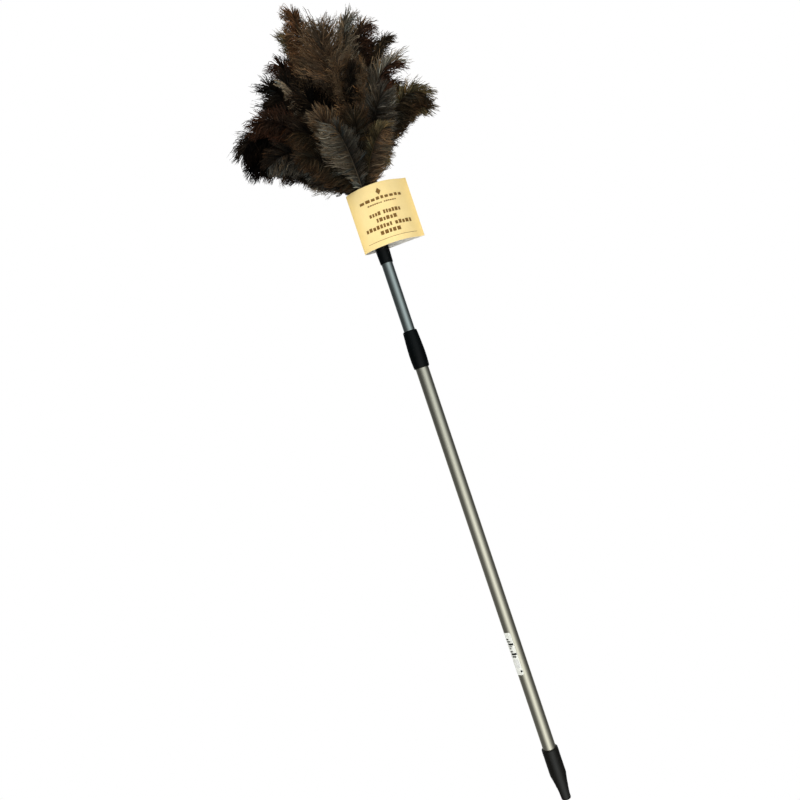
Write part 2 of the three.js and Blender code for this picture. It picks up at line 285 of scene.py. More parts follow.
def paper_material(name, low, high, edge=None):
    """Card: fibres in colour and surface. With an edge colour, the sheet is deeper near its sides, as
    painted shade where the curved card turns away from the light.
    """
    tree = Material(name)
    fibres = tree.noise(1.0, 5.0, 0.65, tree.coordinates((900.0, 900.0, 320.0)))
    clouds = tree.noise(1.0, 3.0, 0.5, tree.coordinates((26.0, 26.0, 26.0)))
    colour = tree.ramp(clouds, [(0.3, low), (0.7, high)])
    if edge is not None:
        # painted shade: the edge colour deepens the sheet near its sides
        colour = tree.blend("MIX", side_shade_mask(tree), colour, edge)
    fleck = tree.ramp(fibres, [(0.35, (0.95, 0.94, 0.92)), (0.65, (1.0, 1.0, 1.0))])
    tree.look(Base_Color=tree.blend("MULTIPLY", 1.0, colour, fleck))
    tree.look(Roughness=0.62, Specular_IOR_Level=0.25)
    tree.bump(fibres, 0.18, 0.2 * MM)
    return tree.material


def side_shade_mask(tree):
    """The painted shade's mask: bright at the left and right edges of a piece's box, and 0 in its middle.
    """
    split = tree.add("SeparateXYZ", Vector=tree.add("TexCoord").outputs["Generated"])
    edge = (0.7,) * 3
    none = (0.0,) * 3
    return tree.ramp(split.outputs["X"], [(0.0, edge), (0.14, none), (0.80, none), (1.0, edge)])


def ink_material(name, colour):
    """Printing ink that lets a little of the paper's fibre through."""
    tree = Material(name)
    fibres = tree.noise(1.0, 4.0, 0.6, tree.coordinates((1100.0, 1100.0, 700.0)))
    worn = tuple(min(part * 1.7 + 0.01, 1.0) for part in colour)
    tree.look(Base_Color=tree.ramp(fibres, [(0.45, colour), (0.80, worn)]))
    tree.look(Roughness=0.55, Specular_IOR_Level=0.3)
    return tree.material


def film_material():
    """White printed film: smooth, a little yellowed and rubbed."""
    tree = Material("white_film")
    rub = tree.noise(160.0, 4.0, 0.6, tree.coordinates())
    tree.look(Base_Color=tree.ramp(rub, [(0.3, (0.53, 0.54, 0.49)), (0.65, (0.66, 0.67, 0.61))]))
    tree.roughness(rub, 0.30, 0.50)
    tree.bump(rub, 0.08, 0.2 * MM)
    return tree.material


# ---- Turned and moulded pieces --------------------

SIDES = 96                 # facets round a turned piece
SHARP = math.radians(40)   # edges sharper than this are shaded as edges
CRISPNESS = 30.0           # the higher, the sharper the cap's edges between its flats and round sides


def rounded(profile, radius, steps=5):
    """The outline with a small curve at each inner corner."""
    points = np.array(profile, float)
    result = [points[0]]
    for before, corner, after in zip(points, points[1:], points[2:]):
        into = before - corner
        out = after - corner
        start = corner + into * min(radius / np.linalg.norm(into), 0.45)
        end = corner + out * min(radius / np.linalg.norm(out), 0.45)
        for u in np.linspace(0.0, 1.0, steps + 1):
            result.append((1 - u) ** 2 * start + 2 * u * (1 - u) * corner + u**2 * end)
    result.append(points[-1])
    return np.array(result)


def ring_profile(outside, inside, radius):
    """A closed outline from two that both run upwards, with rounded corners."""
    middle = (np.array(outside[0], float) + np.array(inside[0], float)) / 2
    return rounded([middle, *outside, *reversed(inside), middle], radius)[:-1]


def turned(name, profile, squeeze=None):
    """A body turned round Z. The profile, of radius and z in millimetres, starts and ends on the axis or
    closes on itself, and squeeze(radius, z, angle) may make its section less than round."""
    angle = np.linspace(0.0, 2.0 * math.pi, SIDES, endpoint=False)[None]
    radius = profile[:, :1] + 0.0 * angle
    z = profile[:, 1:] + 0.0 * angle
    if squeeze:
        radius = squeeze(radius, z, angle)
    points = np.stack([radius * np.cos(angle), radius * np.sin(angle), z], axis=-1).reshape(-1, 3) * MM
    rows = len(profile)
    closes = profile[0, 0] > 0.0
    faces = []
    for row in range(rows if closes else rows - 1):
        above = (row + 1) % rows
        for side in range(SIDES):
            beside = (side + 1) % SIDES
            corners = ((row, side), (row, beside), (above, beside), (above, side))
            faces.append(tuple(ring * SIDES + place for ring, place in corners))
    piece = new_mesh_object(name, points, faces)
    shape = bmesh.new()
    shape.from_mesh(piece.data)
    bmesh.ops.remove_doubles(shape, verts=shape.verts, dist=0.01 * MM)
    shape.to_mesh(piece.data)
    shape.free()
    piece.data.set_sharp_from_angle(angle=SHARP)
    return piece


def cut(piece, cutter):
    """Takes the cutter's shape out of the piece."""
    modifier = piece.modifiers.new("cut", "BOOLEAN")
    modifier.object = cutter
    modifier.solver = "EXACT"
    graph = bpy.context.evaluated_depsgraph_get()
    result = bpy.data.meshes.new_from_object(piece.evaluated_get(graph))
    piece.modifiers.clear()
    piece.data = result
    bpy.data.objects.remove(cutter)
    piece.data.set_sharp_from_angle(angle=SHARP)


def hole_along_x(profile, z):
    """A cutter turned round X at height z metres."""
    cutter = turned("cutter", np.array(profile, float))
    cutter.data.transform(Matrix.Translation((0.0, 0.0, z)) @ Matrix.Rotation(math.pi / 2, 4, "Y"))
    return cutter


def ridge(z, height, half):
    """Profile points of a low moulded ridge round the cap, middle at z."""
    low = CAP_HIGH.x / MM
    high = low + height
    return [[low, z - 2 * half], [high, z - half], [high, z + half], [low, z + 2 * half]]


def end_cap():
    """The hanging cap: round above, flattened to a tab with a round-lipped hole below."""
    radius = CAP_HIGH.x / MM
    top = CAP_HIGH.z / MM
    socket = (OUTER_RADIUS + CLEARANCE) / MM
    floor = (OUTER_LOW.z - CLEARANCE) / MM
    outline = [[4.8, 0], [9.4, 2.6], [11.8, 6.4], [12.6, 12], [13.2, 26], [radius, 45],
               *ridge(top - 8.5, 0.14, 0.5), *ridge(top - 5.5, 0.14, 0.5),
               [radius, top - 0.8], [radius - 0.7, top]]
    profile = rounded([[0, 0], *outline, [socket, top], [socket, floor], [0, floor]], 0.9)
    front = rounded([[3.2, -1], [3.2, 0], [5.8, 1.4], [7.5, 3.6], [8, 6], [8, 20], [9, 23.5],
                     [11.6, 31.5], [15, 45], [40, 50]], 2.5)

    def squeeze(radius, z, angle):
        """The lesser of the round section's radius and the flats' distance, with a soft edge between."""
        half = np.interp(z, front[:, 1], front[:, 0])
        safe = np.maximum(radius, 0.001)
        return (safe**-CRISPNESS + (np.abs(np.cos(angle)) / half) ** CRISPNESS) ** (-1.0 / CRISPNESS)

    piece = turned("end_cap_shell", profile, squeeze)
    lip = [[7, 12], [6.2, 8.4], [4.5, 7.1], [4, 5.6]]
    cutter = [[0, -12], *([r, -x] for r, x in lip), *reversed(lip), [0, 12]]
    cut(piece, hole_along_x(cutter, HANG_HOLE_Z))
    finished(piece, CAP_PLASTIC, "handle", "black_plastic", "end_cap")


def straight_tube(name, low, high, radius):
    """A drawn tube with softened ends."""
    outer = radius / MM
    inner = (radius - WALL) / MM
    bottom = low.z / MM
    top = high.z / MM
    outline = ring_profile([[outer, bottom], [outer, top]], [[inner, bottom], [inner, top]], 0.25)
    return turned(name, outline)


def tubes():
    outer = straight_tube("outer_tube_drawn", OUTER_LOW, OUTER_HIGH, OUTER_RADIUS)
    finished(outer, CHAMPAGNE, "handle", "outer_aluminium", "outer_tube")
    inner = straight_tube("inner_tube_drawn", INNER_LOW, INNER_HIGH, INNER_RADIUS)
    cut(inner, hole_along_x([[0, -20], [PIN_HOLE, -20], [PIN_HOLE, 20], [0, 20]], PIN_Z))
    finished(inner, GREY_METAL, "pole", "inner_aluminium", "inner_tube")


def collar_grip():
    """The barrel-shaped sleeve over the tube's mouth, with a lip over its end."""
    bore = (OUTER_RADIUS + CLEARANCE) / MM
    lip = (INNER_RADIUS + CLEARANCE) / MM
    bottom = COLLAR_LOW.z / MM
    top = COLLAR_HIGH.z / MM
    shoulder = top - 6.3
    belly = [[12.1, 0], [13.1, 1.2], [13.6, 8], [13.95, 16], [14, 25], [13.7, 34], [13.1, 46], [12.4, 57]]
    outside = [*([radius, bottom + above] for radius, above in belly), [11.9, top - 1.4], [11, top]]
    inside = [[bore, bottom], [bore, shoulder], [lip, shoulder], [lip, top]]
    piece = turned("collar_grip_shell", ring_profile(outside, inside, 1.2))
    finished(piece, GRIP_PLASTIC, "handle", "black_plastic", "collar_grip")


def ferrule():
    """The tapered cup that holds the bound quills."""
    grip = (INNER_RADIUS + CLEARANCE) / MM
    bottom = FERRULE_LOW.z / MM
    top = FERRULE_HIGH.z / MM
    seat = bottom + 33
    outside = [[10.3, bottom], [10.7, bottom + 0.8], [12, seat], [13.8, top - 1], [13.5, top]]
    inside = [[grip, bottom], [grip, seat - 5.5], [10.5, seat], [12.5, top]]
    piece = turned("ferrule_shell", ring_profile(outside, inside, 0.8))
    finished(piece, GRIP_PLASTIC, "pole", "black_plastic", "ferrule")


# ---- Card, label and their print --------------------

CARD_THICKNESS = 0.5 * MM
CARD_COLUMNS = 220
CARD_ROWS = 24
PRINT_HEIGHT = 0.09 * MM
SINK = 0.02 * MM           # how far a print reaches into what it is printed on
FILM_GAP = 0.02 * MM       # between the label and the tube
FILM = 0.14 * MM           # from the tube to the label's outside

# The card's line seen from above, in millimetres, as in the CAD model but run the other way:
# the back leaf, the fold round the ferrule, then the bulging front leaf.
CARD_LINE = [
    (74.3, 6.8), (56, 8), (38, 11), (18, 15), (2, 16.4), (-13, 15.4), (-25, 11.5), (-29.2, 6.5), (-28, 1),
    (-20, -8.5), (-6, -17.5), (9, -22.5), (23.5, -24), (38, -20.5), (52, -12), (67, 1), (74.3, 5.4),
]


def smooth_line(points, pieces=60):
    """A centripetal Catmull-Rom curve through the points."""
    points = np.array(points, float)
    points = np.vstack([2 * points[0] - points[1], points, 2 * points[-1] - points[-2]])
    result = []
    for p0, p1, p2, p3 in zip(points, points[1:], points[2:], points[3:]):
        t1 = np.linalg.norm(p1 - p0) ** 0.5
        t2 = t1 + np.linalg.norm(p2 - p1) ** 0.5
        t3 = t2 + np.linalg.norm(p3 - p2) ** 0.5
        for t in np.linspace(t1, t2, pieces, endpoint=False):
            a1 = p0 + (p1 - p0) * t / t1
            a2 = p1 + (p2 - p1) * (t - t1) / (t2 - t1)
            a3 = p2 + (p3 - p2) * (t - t2) / (t3 - t2)
            b1 = a1 + (a2 - a1) * t / t2
            b2 = a2 + (a3 - a2) * (t - t1) / (t3 - t1)
            result.append(b1 + (b2 - b1) * (t - t1) / (t2 - t1))
    return np.array(result + [points[-2]])


class CardSurface:
    """Places things on the curved card: s is metres along its line, from the back leaf's free edge."""

    def __init__(self):
        self.line = smooth_line(CARD_LINE) * MM
        steps = np.linalg.norm(np.diff(self.line, axis=0), axis=1)
        self.along = np.concatenate([[0.0], np.cumsum(steps)])
        self.length = self.along[-1]
        tangent = unit(np.gradient(self.line, axis=0))
        self.normal = np.stack([tangent[:, 1], -tangent[:, 0]], axis=1)

    def place(self, s, z, height):
        x, y = (np.interp(s, self.along, self.line[:, k]) for k in (0, 1))
        out_x, out_y = (np.interp(s, self.along, self.normal[:, k]) for k in (0, 1))
        return np.stack([x + out_x * height, y + out_y * height, z], axis=-1)

    def front(self, x):
        """s at a place x on the front leaf."""
        fold = int(np.argmin(self.line[:, 0]))
        return np.interp(x, self.line[fold:, 0], self.along[fold:])


def tube_surface(s, z, height):
    """Places things on the outer tube: s is the azimuth in degrees."""
    angle = np.radians(s)
    radius = OUTER_RADIUS + height
    return np.stack([radius * np.cos(angle), radius * np.sin(angle), z], axis=-1)


def slab(place, rows, columns, low, high):
    """A thin closed slab on a curved surface. Rows are (z, from, to) upwards. Gives points and faces,
    the faces of its outer side first."""
    z, start, end = np.array(rows, float).T
    s = start[:, None] + (end - start)[:, None] * np.linspace(0.0, 1.0, columns)[None]
    z = z[:, None] + 0.0 * s
    points = np.concatenate([place(s, z, high).reshape(-1, 3), place(s, z, low).reshape(-1, 3)])
    grid = np.arange(len(rows) * columns).reshape(len(rows), columns)
    outer = np.stack([grid[:-1, :-1], grid[:-1, 1:], grid[1:, 1:], grid[1:, :-1]], axis=-1).reshape(-1, 4)
    rim = np.concatenate([grid[0], grid[1:, -1], grid[-1, -2::-1], grid[-2:0:-1, 0]])
    after = np.roll(rim, -1)
    sides = np.stack([rim, rim + grid.size, after + grid.size, after], axis=1)
    return points, np.concatenate([outer, outer[:, ::-1] + grid.size, sides])


def joined(name, slabs):
    """One mesh piece from several slabs."""
    points = []
    faces = []
    total = 0
    for slab_points, slab_faces in slabs:
        points.append(slab_points)
        faces.append(slab_faces + total)
        total += len(slab_points)
    piece = new_mesh_object(name, np.concatenate(points), np.concatenate(faces))
    piece.data.set_sharp_from_angle(angle=SHARP)
    return piece


def rectangle(z_low, z_high, start, end):
    return [(z_low, start, end), (z_high, start, end)]


def disc(z, s, half_height, half_width, steps=12):
    """Rows of a round spot."""
    angles = np.linspace(-0.499 * math.pi, 0.499 * math.pi, steps)
    return [(z + half_height * math.sin(a), s - half_width * math.cos(a), s + half_width * math.cos(a))
            for a in angles]


def tag_card(card):
    """Yellow outside, cream inside and on its cut edges."""
    rows = [(z, 0.0, card.length) for z in np.linspace(CARD_LOW.z, CARD_HIGH.z, CARD_ROWS)]
    points, faces = slab(card.place, rows, CARD_COLUMNS, -CARD_THICKNESS / 2, CARD_THICKNESS / 2)
    piece = joined("folded_card", [(points, faces)])
    finished(piece, CARD_OUTSIDE, "tag", "card_stock", "tag_card")
    piece.data.materials.append(CARD_INSIDE)
    outer_faces = (CARD_ROWS - 1) * (CARD_COLUMNS - 1)
    index = np.where(np.arange(len(faces)) < outer_faces, 0, 1).astype(np.int32)
    piece.data.polygons.foreach_set("material_index", index)


# Lines of bars that stand for words on the card, in millimetres: how far below the card's top,
# bar height, line width, and the number of bars in each word.
PRINT_MIDDLE = 22.5
PRINT_LINES = [
    (25.0, 5.0, 70, (9,)), (33.0, 2.2, 48, (7, 6)), (49.0, 6.4, 52, (4, 6)), (59.5, 6.4, 34, (6,)),
    (70.5, 6.4, 76, (8, 5)), (81.0, 6.4, 34, (5,)),
]
PRINT_RULE = (91.5, 0.7, 82)         # a thin line: how far below the top, its height and width
PRINT_MARK = (14.5, 5.6, 4.4)        # a lozenge: how far below the top, half height, half width
BAR_WIDTH = (0.8, 1.5)               # least and most, before a line is stretched to its width
BAR_GAP = 0.42
WORD_GAP = 1.1                       # as well, between words
BAR_REACH = [0.36, 0.5, 0.5]         # from a line's middle to a bar's top: one is drawn for each bar


def word_bars(rng, width, words):
    """Starts and ends of upright bars in words, filling a width centred on 0."""
    spans = []
    at = 0.0
    for count in words:
        for _ in range(count):
            size = rng.uniform(*BAR_WIDTH)
            spans.append((at, at + size))
            at += size + BAR_GAP
        at += WORD_GAP
    total = spans[-1][1]
    return [((a / total - 0.5) * width, (b / total - 0.5) * width) for a, b in spans]


def card_print(card):
    """Bars in place of words, a lozenge above them and a thin line below."""
    rng = np.random.default_rng(5)
    low = CARD_THICKNESS / 2 - SINK
    high = CARD_THICKNESS / 2 + PRINT_HEIGHT
    slabs = []

    def add(below, spans, columns):
        """Adds a shape from its spans: (height above its middle, start, end), in millimetres."""
        middle = CARD_HIGH.z - below * MM
        rows = [(middle + up * MM, *(card.front((PRINT_MIDDLE + x) * MM) for x in ends))
                for up, *ends in spans]
        slabs.append(slab(card.place, rows, columns, low, high))

    for below, height, width, words in PRINT_LINES:
        for start, end in word_bars(rng, width, words):
            add(below, rectangle(-height * 0.5, height * rng.choice(BAR_REACH), start, end), 4)
    below, height, width = PRINT_RULE
    add(below, rectangle(-height / 2, height / 2, -width / 2, width / 2), 80)
    below, tall, wide = PRINT_MARK
    add(below, [(-tall, -0.2, 0.2), (0.0, -wide, wide), (tall, -0.2, 0.2)], 8)
    finished(joined("card_print", slabs), BROWN_INK, "tag", "card_stock")


LABEL_EDGES = (130.0, 262.0)    # degrees of azimuth
LABEL_CORNER = 3.0 * MM


def label():
    """A white film with rounded corners, stuck part of the way round the outer tube."""
    start, end = LABEL_EDGES
    degrees = math.degrees(1.0 / OUTER_RADIUS)
    curve = [(LABEL_CORNER * (1 - math.sin(a)), LABEL_CORNER * (1 - math.cos(a)) * degrees)
             for a in np.linspace(0.0, 0.5 * math.pi, 7)]
    low = [(LABEL_LOW.z + up, inset) for up, inset in reversed(curve)]
    high = [(LABEL_HIGH.z - down, inset) for down, inset in curve]
    rows = [(z, start + inset, end - inset) for z, inset in low + high]
    piece = joined("label_sheet", [slab(tube_surface, rows, 64, FILM_GAP, FILM)])
    finished(piece, WHITE_FILM, "handle", "label_film", "tube_label")


# What is printed on the label, in millimetres down from its top and degrees of azimuth: bars,
# (from, to, start, end), in black and in grey, and a black spot, (middle, start).
LABEL_BLACK = [
    (10, 12.5, 196, 226), (14, 16.5, 198, 236), (18, 21.5, 204, 256), (23, 24.5, 200, 240),
    (26, 28, 204, 226), (31, 33.5, 204, 230), (35, 38.5, 206, 258), (40, 42.5, 206, 246),
]
LABEL_GREY = [(47, 61, 222, 226), (47, 61, 230, 234), (47, 61, 238, 242), (47, 61, 246, 250)]
LABEL_SPOT = (66.5, 250)
SPOT_SIZE = (1.9 * MM, 9.0)     # half its height, and half its width in degrees
LABEL_PRINT_HEIGHT = 0.04 * MM


def label_print():
    top = LABEL_HIGH.z
    low = FILM - SINK
    high = FILM + LABEL_PRINT_HEIGHT

    def bars(marks):
        return [slab(tube_surface, rectangle(top - b * MM, top - a * MM, start, end), 8, low, high)
                for a, b, start, end in marks]

    below, azimuth = LABEL_SPOT
    spot = slab(tube_surface, disc(top - below * MM, azimuth, *SPOT_SIZE), 8, low, high)
    black = joined("label_print_black", bars(LABEL_BLACK) + [spot])
    finished(black, BLACK_INK, "handle", "label_film")
    grey = joined("label_print_grey", bars(LABEL_GREY))
    finished(grey, GREY_INK, "handle", "label_film")


# ---- Plumes --------------------

BARB_STEPS = 7             # straight pieces in one barb
MIDRIB_STEPS = 40
RIB_SIDES = 6
RIB_RADIUS = (1.1 * MM, 0.3 * MM)               # at the quill and at the tip
RIB_REFERENCE = np.array([0.31, 0.52, 0.79])    # a direction that no midrib runs in
RIB_SHADE = 0.6            # to the barbs' middle shade
TUFT = 6                   # neighbouring barbs that cling together
BARBS_PER_METRE = 1500.0   # on each side of a midrib
FIRST_BARB = 0.08          # where the barbs begin, as a share of the midrib's length
BARB_WAVE = (20.0, 32.0)   # how long the curls along a barb are, in millimetres
QUILL_RISE = 34 * MM       # how far a quill stands straight up before it leans out
QUILL_DEPTH = 12 * MM      # how far below the ferrule's mouth the visible quill starts
QUILL_REACH = 12.4 * MM    # how far from the pole's axis a quill may be, below the card's top edge
QUILL_SPREAD = 3.0         # and how fast it may lean out above that, sideways for each unit up
CARD_REACH = 77 * MM       # the turning card's corners stay inside this radius
CARD_TOP_GAP = 1.8 * MM    # between the card and the lowest barbs above it
CARD_RAMP = 1.5            # how steeply the barbs may droop beyond that radius


def inside_card(points):
    """Keeps the quills inside the turning card, and lets them spread above its top edge."""
    above = np.maximum(points[:, 2] - CARD_HIGH.z - CARD_TOP_GAP, 0.0)
    reach = np.linalg.norm(points[:, :2], axis=1)
    share = np.minimum(1.0, (QUILL_REACH + QUILL_SPREAD * above) / reach)
    return points * np.stack([share, share, np.ones(len(points))], axis=1)


def above_card(lines):
    """Lifts whatever droops into the space that the card turns in."""
    reach = np.linalg.norm(lines[..., :2], axis=-1)
    floor = CARD_HIGH.z + CARD_TOP_GAP - CARD_RAMP * np.maximum(reach - CARD_REACH, 0.0)
    lines[..., 2] = np.maximum(lines[..., 2], floor)
    return lines


def midrib(plume):
    """Shares of the length, its length, points, tangents and face normals along a plume's midrib."""
    bend = np.array(plume["bend"]) * MM + MOUTH * UP
    tip = np.array(plume["tip"]) * MM + MOUTH * UP
    level = np.array([bend[0], bend[1], 0.0])
    start = plume["ring"] * MM * unit(level) + (MOUTH - QUILL_DEPTH) * UP
    rise = start + QUILL_RISE * UP
    u = np.linspace(0.0, 1.0, MIDRIB_STEPS + 1)[:, None]
    points = (1 - u) ** 3 * start + 3 * u * (1 - u) ** 2 * rise + 3 * u**2 * (1 - u) * bend + u**3 * tip
    points = inside_card(points)
    steps = np.linalg.norm(np.diff(points, axis=0), axis=1)
    along = np.concatenate([[0.0], np.cumsum(steps)])
    tangents = unit(np.gradient(points, axis=0))
    face = np.array(plume["face"], float)
    face = face - (tangents @ face)[:, None] * tangents
    return along / along[-1], along[-1], points, tangents, unit(face)


def sample(values, share, at):
    return np.stack([np.interp(at, share, values[:, k]) for k in range(3)], axis=1)


def per_tuft(rng, spread, count):
    """One random number for each tuft, repeated for its barbs."""
    return np.repeat(rng.normal(0.0, spread, count // TUFT + 1), TUFT)[:count]


def barb_profile(at, plume):
    """Barb length along the midrib, as a share of the longest: short down, full vane, rounded tip."""
    grow = 0.22 + 0.78 * smoothstep((at - plume["bare"]) / 0.36)
    close = 1.0 - plume["close"] * smoothstep((at - 0.66) / 0.34)
    return grow * close


def barb_lengths(plume, at, hand, rng):
    reach = plume["barb"] * MM * barb_profile(at, plume)
    reach = reach * np.exp(per_tuft(rng, 0.10, len(at))) * rng.uniform(0.86, 1.05, len(at))
    return reach * np.where(hand > 0, plume["right"], plume["left"])


def barb_openings(plume, at, rng):
    """Angles between the midrib and the barbs' roots, smaller near the tip."""
    opening = np.radians(plume["opening"]) * (1.0 - plume["gather"] * smoothstep((at - 0.6) / 0.4))
    opening = opening + per_tuft(rng, 0.14, len(at)) + rng.normal(0.0, 0.17, len(at))
    return opening * (1.0 - rng.uniform(0.0, 0.9, len(at)) * smoothstep((at - 0.80) / 0.2))


def barb_falls(plume, t, count, rng):
    """Angles by which each barb turns away from the plume's face at each share t of its length."""
    fall = np.radians(plume["fall"]) + per_tuft(rng, 0.26, count) + rng.normal(0.0, 0.34, count)
    return fall[:, None] * t**1.3 + per_tuft(rng, 0.10, count)[:, None]


def barb_lines(plume, rng):
    """Centre lines of all barbs, as an array [barb, station, xyz], and their flat sides' normals.
    The first half of the barbs are the right side's, seen with the plume's face in front."""
    share, length, points, tangents, faces = midrib(plume)
    half = int(BARBS_PER_METRE * length * plume["density"]) // TUFT * TUFT
    hand = np.repeat([1.0, -1.0], half)
    at = np.tile(FIRST_BARB + (1.0 - FIRST_BARB) * np.linspace(0.0, 1.0, half) ** 0.80, 2)
    base = sample(points, share, at)
    along = unit(sample(tangents, share, at))
    normal = unit(sample(faces, share, at))
    side = np.cross(along, normal) * hand[:, None]

    t = np.linspace(0.0, 1.0, BARB_STEPS + 1)[None, :]
    reach = barb_lengths(plume, at, hand, rng)
    turn = barb_openings(plume, at, rng)[:, None] * (1.0 - plume["sweep"] * t**1.2)
    fall = barb_falls(plume, t, len(at), rng)
    forward = np.cos(turn) * np.cos(fall)
    outward = np.sin(turn) * np.cos(fall)
    steps = (forward[..., None] * along[:, None] + outward[..., None] * side[:, None]
             - np.sin(fall)[..., None] * normal[:, None])
    steps = steps + curls(rng, plume, reach, t, along, normal)
    steps = unit(steps - plume["sag"] * t[..., None] * UP) * (reach / BARB_STEPS)[:, None, None]
    steps[:, 0] = 0.0
    lines = base[:, None] + np.cumsum(steps, axis=1)
    return above_card(cling(lines, plume["cling"], t[0])), normal


def curls(rng, plume, reach, t, along, normal):
    """Sideways waves that grow along each barb, in step within a tuft."""
    count = len(reach)
    waves = reach / (rng.uniform(*BARB_WAVE, count) * MM)
    phase = per_tuft(rng, 2.5, count) + rng.normal(0.0, 0.35, count)
    angle = 2.0 * math.pi * waves[:, None] * t + phase[:, None]
    size = plume["curl"] * t
    return ((size * np.cos(angle))[..., None] * along[:, None]
            + (0.8 * size * np.sin(angle + 0.9))[..., None] * normal[:, None])


def cling(lines, strength, t):
    """Pulls the outer ends of each tuft's barbs together."""
    tufts = lines.reshape(-1, TUFT, lines.shape[1], 3)
    centre = tufts.mean(axis=1, keepdims=True)
    pull = (strength * smoothstep((t - 0.55) / 0.45))[None, None, :, None]
    return (tufts + (centre - tufts) * pull).reshape(lines.shape)


def barb_sections(lines, width, normal, rng):
    """Three corners at each station of each barb's line, for flat, toothed and tapering barbs."""
    count, stations, _ = lines.shape
    tangents = unit(np.gradient(lines, axis=1))
    reference = normal[:, None] + rng.normal(0.0, 0.6, (count, 1, 3))
    across = unit(np.cross(tangents, reference))
    through = np.cross(across, tangents)
    tooth = np.where(np.arange(stations) % 2 == 0, 1.25, 0.75)
    taper = 0.30 + 0.70 * np.sqrt(1.0 - np.linspace(0.0, 1.0, stations))
    half = (width[:, None] * (tooth * taper)[None, :] / 2.0)[..., None]
    return np.stack([lines - across * half, lines + across * half, lines - through * (0.6 * half)], axis=2)


def rib_sections(points):
    """Rings of corners along the midrib, tapering to its tip."""
    tangents = unit(np.gradient(points, axis=0))
    across = unit(np.cross(tangents, RIB_REFERENCE))
    through = np.cross(tangents, across)
    radius = np.linspace(*RIB_RADIUS, len(points))[:, None, None]
    angle = np.linspace(0.0, 2.0 * math.pi, RIB_SIDES, endpoint=False)[None, :, None]
    return points[:, None] + (np.cos(angle) * across[:, None] + np.sin(angle) * through[:, None]) * radius


def closed_tubes(sections):
    """Points, quads and end triangles of tubes through sections, [tube, station, corner, xyz]."""
    count, stations, sides, _ = sections.shape
    tube, station, corner = np.meshgrid(
        np.arange(count), np.arange(stations - 1), np.arange(sides), indexing="ij")
    first = (tube * stations + station) * sides
    near = (first + corner).ravel()
    beside = (first + (corner + 1) % sides).ravel()
    quads = np.stack([near, beside, beside + sides, near + sides], axis=1)
    fan = np.arange(1, sides - 1)
    root = np.arange(count)[:, None, None] * stations * sides
    end = root + (stations - 1) * sides
    caps = np.concatenate([root + np.stack([0 * fan, fan + 1, fan], axis=1),
                           end + np.stack([0 * fan, fan, fan + 1], axis=1)])
    return sections.reshape(-1, 3), quads, caps.reshape(-1, 3)


def shades_along(shades, t):
    """The colour at each share t of a barb's length. The root colour is far darker than the middle: painted
    shade deep inside the head, where the roots crowd between the plumes.
    """
    stops = [0.0, 0.45, 1.0]
    return np.stack([np.interp(t, stops, [shade[k] for shade in shades]) for k in range(3)], axis=1)


def barb_colours(plume, lines, rng):
    """A colour for each station, varied from tuft to tuft and from barb to barb."""
    count, stations, _ = lines.shape
    t = np.linspace(0.0, 1.0, stations)
    right = shades_along((plume["right_side"] or plume)["shades"], t)
    left = shades_along(plume["shades"], t)
    along = np.where(np.arange(count)[:, None, None] < count // 2, right[None], left[None])
    light = np.exp(per_tuft(rng, 0.28, count) + rng.normal(0.0, 0.42, count))
    warmth = per_tuft(rng, 0.10, count)
    hue = np.stack([1.0 + warmth, np.ones(count), 1.0 - warmth], axis=1)
    return np.clip(along * (light[:, None] * hue)[:, None], 0.0, 1.0)


def build_plume(name, plume, seed):
    """A plume of closed barbs on a closed midrib, in one mesh."""
    rng = np.random.default_rng(seed)
    lines, normal = barb_lines(plume, rng)
    width = plume["strand"] * MM * rng.uniform(0.7, 1.3, len(lines))
    points, quads, caps = closed_tubes(barb_sections(lines, width, normal, rng))
    colours = np.repeat(barb_colours(plume, lines, rng).reshape(-1, 3), 3, axis=0)
    rib, rib_quads, rib_caps = closed_tubes(rib_sections(midrib(plume)[2])[None])
    rib_colours = np.tile(np.array(plume["shades"][1]) * RIB_SHADE, (len(rib), 1))
    return coloured_mesh_object(name, np.concatenate([points, rib]),
                                np.concatenate([quads, rib_quads + len(points)]),
                                np.concatenate([caps, rib_caps + len(points)]),
                                np.concatenate([colours, rib_colours]))


def dyed(slot, root, middle, tip):
    """A feather's colour slot and its linear colours at a barb's root, middle and tip. The root colour is
    darkened as painted shade inside the head.
    """
    return {"slot": slot, "shades": (root, middle, tip)}


# The two blackest colours are partly the plumes' own black and partly painted shade: far darker than any
# feather, they fill the shaded hollows between the plumes.
BLACK = dyed("feather_black", (0.0012, 0.0010, 0.0008), (0.0022, 0.0017, 0.0013), (0.0050, 0.0030, 0.0018))
NEAR_BLACK_AND_SHADE = dyed("feather_black", (0.0030, 0.0024, 0.0018), (0.0090, 0.0072, 0.0052), (0.017, 0.011, 0.0070))
DARK = dyed("feather_dark", (0.0072, 0.0054, 0.0035), (0.026, 0.020, 0.012), (0.036, 0.021, 0.011))
SLATE = dyed("feather_dark", (0.0072, 0.0059, 0.0047), (0.038, 0.033, 0.025), (0.071, 0.063, 0.048))
RUST = dyed("feather_brown", (0.014, 0.0084, 0.0042), (0.069, 0.036, 0.018), (0.097, 0.055, 0.026))
EMBER = dyed("feather_dark", (0.0072, 0.0047, 0.0035), (0.026, 0.014, 0.0084), (0.048, 0.021, 0.012))
BROWN = dyed("feather_brown", (0.020, 0.013, 0.0084), (0.076, 0.051, 0.030), (0.097, 0.065, 0.036))
OLIVE = dyed("feather_brown", (0.015, 0.012, 0.0059), (0.069, 0.053, 0.026), (0.101, 0.076, 0.036))
# A lighter copy of the grey below: painted highlight on the side of a plume that faces the light.
LIT_GREY = dyed("feather_grey", (0.028, 0.024, 0.017), (0.124, 0.107, 0.078), (0.157, 0.135, 0.099))
